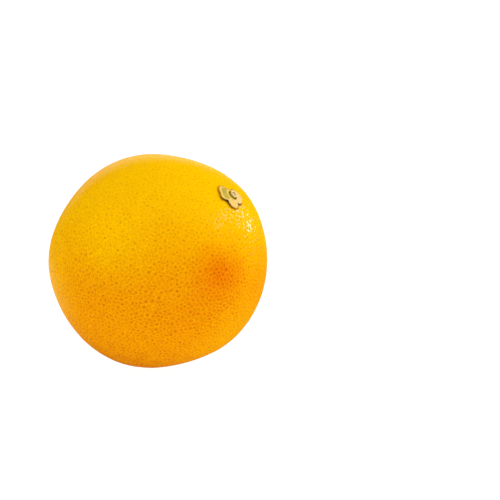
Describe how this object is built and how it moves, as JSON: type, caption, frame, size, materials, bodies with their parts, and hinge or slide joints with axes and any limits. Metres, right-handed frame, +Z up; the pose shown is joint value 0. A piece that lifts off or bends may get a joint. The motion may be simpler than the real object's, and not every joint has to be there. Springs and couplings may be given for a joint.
{
  "type": "grapefruit",
  "caption": "Whole round grapefruit with a pitted rind, a dried star-shaped calyx and a woody stem end, resting on a small flat spot.",
  "frame": {"origin": "middle of the small flat spot that the fruit rests on", "axes": "+Z up, +X to the right of the view in the picture, +Y away from the viewer; the stem end leans over to +X and a little to -Y"},
  "size_m": [0.1005, 0.0994, 0.0983],
  "materials": {
    "rind": "waxy citrus peel, satin gloss, pitted with oil glands",
    "dried_sepal": "dry matt leafy tissue, straw and olive",
    "stem_wood": "dry cut wood, matt"
  },
  "bodies": {
    "root": {"fruit": "rind", "calyx": "dried_sepal", "stem_stub": "stem_wood"}
  },
  "joints": []
}
